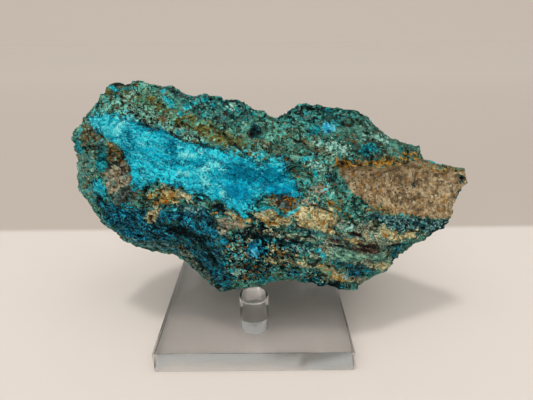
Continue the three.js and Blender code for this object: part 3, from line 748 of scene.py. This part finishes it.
# the turquoise crust is smoother than the rock, and the granular slab is nearly flat
crust = zone(points, "chrysocolla")
slab = zone(points, "granite")
cracks *= (1 - rs["crackHold"] * crust) * (1 - slab)
relief = (relief * (1 - rs["crustHold"] * crust) * (1 - rs["slabHold"] * slab)
          + (crust + slab) * rs["crumb"] * softNoise(points, rs["crumbSize"], 52))
for mineral in stoneMinerals:
    if "rise" in mineral:
        relief += mineral["rise"] * np.clip(mineralDepth(points, mineral) / rs["riseFade"], 0, 1)
hollows = np.clip(-relief / rs["hollowFull"], 0, 1)
for x, z, radius, push in stoneSetup["swells"]:
    near = np.clip(1 - np.hypot(points[:, 0] - x, points[:, 2] - z) / radius, 0, 1)
    relief += push * near ** 2 * (3 - 2 * near)
for name, depths in (("crack_depth", cracks), ("hollow_depth", hollows)):
    layer = stone.data.attributes.new(name, "FLOAT", "POINT")
    layer.data.foreach_set("value", depths)
# the stone stays as modelled where it rests on the pegs
for node in pegNodes:
    low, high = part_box(node)
    middle = (low + high) / 2 / mm
    away = np.hypot(points[:, 0] - middle.x, points[:, 1] - middle.y)
    seated = (away < stoneSetup["seatClear"]) & (points[:, 2] < stoneSetup["seatHeight"])
    relief[seated] = 0
points += normals * relief[:, None]
stone.data.vertices.foreach_set("co", (points * mm).ravel())
stone.data.update()
triangles = countTriangles(stone.data)
if triangles > stoneSetup["mostTriangles"]:
    applyModifier(stone, "DECIMATE", ratio=stoneSetup["mostTriangles"] / triangles)
print("stone relief done:", countTriangles(stone.data), "triangles")

points = readPoints(stone.data) / mm
for mineral in stoneMinerals:
    depths = stone.data.attributes.new(mineral["name"] + "_depth", "FLOAT", "POINT")
    depths.data.foreach_set("value", mineralDepth(points, mineral))
print("minerals mapped")

oreSetup = {
    "jitterPerMm": 0.8, "jitter": 3.2,      # how patches and grains are shaken out of round, in mm
    "streakStretch": (0.2, 0.5, 1.0),       # streaks are longest along the layers
    "speckSoft": 0.01, "edgeSoft": 0.25, "haloSoft": 0.2,
    "edgePatch": 2.6, "edgeGrain": 1.6, "edgeShift": -2.1,
    # painted shade in the cracks and in the low places of the relief: colour, where it starts, where it is
    # full, and how much it then covers
    "paintedCrackShade": ("0A0F10", 0.55, 0.95, 0.85), "paintedCrackShadeWander": 0.5,
    "shade": ("0B1416", 0.1, 1.0, 0.6),
    "bumpPatch": 1.4, "bumpGrain": 0.5, "bumpStrength": 0.7, "bumpHeight": 0.22 * mm,
    "dull": 0.8, "glossy": 0.5, "specular": 0.03,
}

# copper-ore specimen, broken and earthy: matt blue-green crusts, black and rusty specks, granular quartz
ore, tree = newMaterial("chrysocolla_ore_rough_broken")
where = addNode(tree, "ShaderNodeTexCoord")
inMm = addNode(tree, "ShaderNodeVectorMath", {"operation": "SCALE"}, {
    0: where.outputs["Object"], "Scale": 1 / mm})
jitter = addNode(tree, "ShaderNodeTexNoise", links={
    "Vector": inMm.outputs[0], "Scale": oreSetup["jitterPerMm"], "Detail": 3.0})
shaken = addNode(tree, "ShaderNodeVectorMath", multiplyAdd, {
    0: jitter.outputs["Color"], 1: (oreSetup["jitter"],) * 3, 2: inMm.outputs[0]})
turned = addNode(tree, "ShaderNodeMapping", links={"Vector": shaken.outputs[0], "Rotation": (0, -dip, 0)})
stretched = addNode(tree, "ShaderNodeMapping", links={
    "Vector": turned.outputs[0], "Scale": oreSetup["streakStretch"]})

# name, where it reads, features per millimetre, detail, roughness, its usual spread about 0.5
noiseFields = [
    ("fine", inMm, 1.15, 2.0, 0.6, 0.085),       # 0.9 mm flecks
    ("medium", inMm, 0.45, 5.0, 0.68, 0.065),    # 2.2 mm mottling with finer edges
    ("cloud", inMm, 0.12, 5.0, 0.6, 0.069),      # 8 mm clouds
    ("mottle", shaken, 0.32, 6.0, 0.66, 0.065),  # 3 mm ragged patches
    ("flow", stretched, 0.95, 4.0, 0.62, 0.07),  # streaks 1 mm thick and 5 mm long, along the layers
]
cellFields = [
    ("grain", shaken, 1.0),   # 1 mm grains
    ("fleck", shaken, 0.7),   # 1.4 mm grains
]
# thin wandering lines, where a noise passes its middle value: pale lace, and dark veins along the layers
threadFields = [
    ("lace", shaken, 0.55), ("stroke", stretched, 1.0), ("vein", stretched, 0.5), ("veinB", stretched, 0.33),
]
reach = 2.2              # this many usual spreads either side of 0.5 fill 0 to 1
stretchedSpread = 0.22   # the spread that gives a noise
cellSpread = 0.289       # cells spread evenly from 0 to 1
threadSharpness = 6.0    # how fast a thin line fades to its sides
# each field is a value from 0 to 1, with its spread, and the limit above which a given share of it lies
fields = {}
for name, source, scale, detail, roughness, usual in noiseFields:
    raw = addNode(tree, "ShaderNodeTexNoise", links={
        "Vector": source.outputs[0], "Scale": scale, "Detail": detail, "Roughness": roughness})
    parts = addNode(tree, "ShaderNodeSeparateColor", links={0: raw.outputs["Color"]})
    for suffix, output in zip(("", "B", "C"), parts.outputs):
        even = addNode(tree, "ShaderNodeMapRange", links={
            "Value": output, "From Min": 0.5 - reach * usual, "From Max": 0.5 + reach * usual})
        fields[name + suffix] = (even.outputs[0], stretchedSpread, NormalDist(0.5, stretchedSpread).inv_cdf)
for name, source, scale in cellFields:
    cells = addNode(tree, "ShaderNodeTexVoronoi", links={"Vector": source.outputs[0], "Scale": scale})
    parts = addNode(tree, "ShaderNodeSeparateColor", links={0: cells.outputs["Color"]})
    for suffix, output in zip(("", "B", "C"), parts.outputs):
        fields[name + suffix] = (output, cellSpread, float)
for name, source, scale in threadFields:
    thread = addNode(tree, "ShaderNodeTexNoise", links={
        "Vector": source.outputs[0], "Scale": scale, "Detail": 3.0, "Roughness": 0.6})
    thread = addNode(tree, "ShaderNodeMath", {"operation": "SUBTRACT"}, {0: thread.outputs[0], 1: 0.5})
    thread = addNode(tree, "ShaderNodeMath", {"operation": "ABSOLUTE"}, {0: thread.outputs[0]})
    thread = addNode(tree, "ShaderNodeMath", multiplyAdd, {
        0: thread.outputs[0], 1: -threadSharpness, 2: 1.0})
    fields[name] = (thread.outputs[0], 0, float)

edgeWander = addNode(tree, "ShaderNodeMath", multiplyAdd, {
    0: fields["medium"][0], 1: oreSetup["edgePatch"], 2: oreSetup["edgeShift"]})
edgeWander = addNode(tree, "ShaderNodeMath", multiplyAdd, {
    0: fields["grain"][0], 1: oreSetup["edgeGrain"], 2: edgeWander.outputs[0]})

# the host rock lies under all the other minerals, so it has no edge of its own
greenRock = {
    "tones": ("0D1816", "28544A", "387A6A", "4A9886", "80C8B4"),
    "fields": {"medium": 0.3, "grain": 0.3, "mottle": 0.25, "cloud": 0.15},
    "accents": [("0B1112", 0.14, "mottleB"), ("5A4C2C", 0.10, "flowB"), ("1F9CA0", 0.08, "grainB"),
                ("90D4C0", 0.05, "stroke"), ("8C6426", 0.03, "grainC"), ("0E1716", 0.05, "vein")],
}
toneSteps = (-1.6, -0.55, 0.05, 0.6, 1.65)   # where the five tones stand, in spreads from the middle
colour = None
for mineral in [greenRock, *stoneMinerals]:
    value = 0.0
    spread = 0.0
    for name, share in mineral["fields"].items():
        source, usual, _ = fields[name]
        value = addNode(tree, "ShaderNodeMath", multiplyAdd, {
            0: source, 1: share, 2: value}).outputs[0]
        spread = math.hypot(spread, share * usual)
    places = [min(max(0.5 + spread * step, 0.0), 1.0) for step in toneSteps]
    stops = list(zip(places, mineral["tones"]))
    finish = addNode(tree, "ShaderNodeValToRGB", links={0: value}, stops=stops).outputs[0]
    for code, share, name in mineral.get("accents", []):
        source, _, limit = fields[name]
        mask = addNode(tree, "ShaderNodeMapRange", links={
            "Value": source, "From Min": limit(1 - share) - oreSetup["speckSoft"],
            "From Max": limit(1 - share) + oreSetup["speckSoft"]})
        finish = addNode(tree, "ShaderNodeMix", mixColour, {
            "Factor": mask.outputs[0], 6: finish, 7: hexToLinear(code)}).outputs[2]
    if colour is None:
        colour = finish
        continue
    depth = addNode(tree, "ShaderNodeAttribute", {"attribute_name": mineral["name"] + "_depth"})
    edge = addNode(tree, "ShaderNodeMath", multiplyAdd, {
        0: edgeWander.outputs[0], 1: mineral["wander"], 2: depth.outputs["Fac"]})
    if "halo" in mineral:
        code, width = mineral["halo"]
        mask = addNode(tree, "ShaderNodeMapRange", smoothStep, {
            "Value": edge.outputs[0], "From Min": -width - oreSetup["haloSoft"],
            "From Max": -width + oreSetup["haloSoft"]})
        colour = addNode(tree, "ShaderNodeMix", mixColour, {
            "Factor": mask.outputs[0], 6: colour, 7: hexToLinear(code)}).outputs[2]
    mask = addNode(tree, "ShaderNodeMapRange", smoothStep, {
        "Value": edge.outputs[0], "From Min": -oreSetup["edgeSoft"], "From Max": oreSetup["edgeSoft"]})
    colour = addNode(tree, "ShaderNodeMix", mixColour, {
        "Factor": mask.outputs[0], 6: colour, 7: finish}).outputs[2]

# painted shade: the cracks are painted dark, and the low places darker than the high ones
crack = addNode(tree, "ShaderNodeAttribute", {"attribute_name": "crack_depth"})
crackEdge = addNode(tree, "ShaderNodeMath", multiplyAdd, {
    0: fields["medium"][0], 1: oreSetup["paintedCrackShadeWander"], 2: crack.outputs["Fac"]})
hollow = addNode(tree, "ShaderNodeAttribute", {"attribute_name": "hollow_depth"})
for source, fade, (code, start, full, most) in (
        (crackEdge.outputs[0], smoothStep, oreSetup["paintedCrackShade"]), (hollow.outputs["Fac"], {}, oreSetup["shade"])):
    mask = addNode(tree, "ShaderNodeMapRange", fade, {
        "Value": source, "From Min": start, "From Max": full, "To Max": most})
    colour = addNode(tree, "ShaderNodeMix", mixColour, {
        "Factor": mask.outputs[0], 6: colour, 7: hexToLinear(code)}).outputs[2]

bumps = addNode(tree, "ShaderNodeMath", multiplyAdd, {
    0: fields["medium"][0], 1: oreSetup["bumpPatch"], 2: fields["fine"][0]})
bumps = addNode(tree, "ShaderNodeMath", multiplyAdd, {
    0: fields["grain"][0], 1: oreSetup["bumpGrain"], 2: bumps.outputs[0]})
bump = addNode(tree, "ShaderNodeBump", links={
    "Height": bumps.outputs[0], "Strength": oreSetup["bumpStrength"], "Distance": oreSetup["bumpHeight"]})
rough = addNode(tree, "ShaderNodeMapRange", links={
    "Value": fields["mottleB"][0], "To Min": oreSetup["dull"], "To Max": oreSetup["glossy"]})
surface = addNode(tree, "ShaderNodeBsdfPrincipled", links={
    "Base Color": colour, "Roughness": rough.outputs[0], "Normal": bump.outputs[0],
    "Specular IOR Level": oreSetup["specular"]})
addNode(tree, "ShaderNodeOutputMaterial", links={0: surface.outputs[0]})
stone.data.materials.append(ore)
smoothFaces(stone, stoneSetup["smoothAngle"])
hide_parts("specimen")
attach(stone, "root")
print("stone finished")
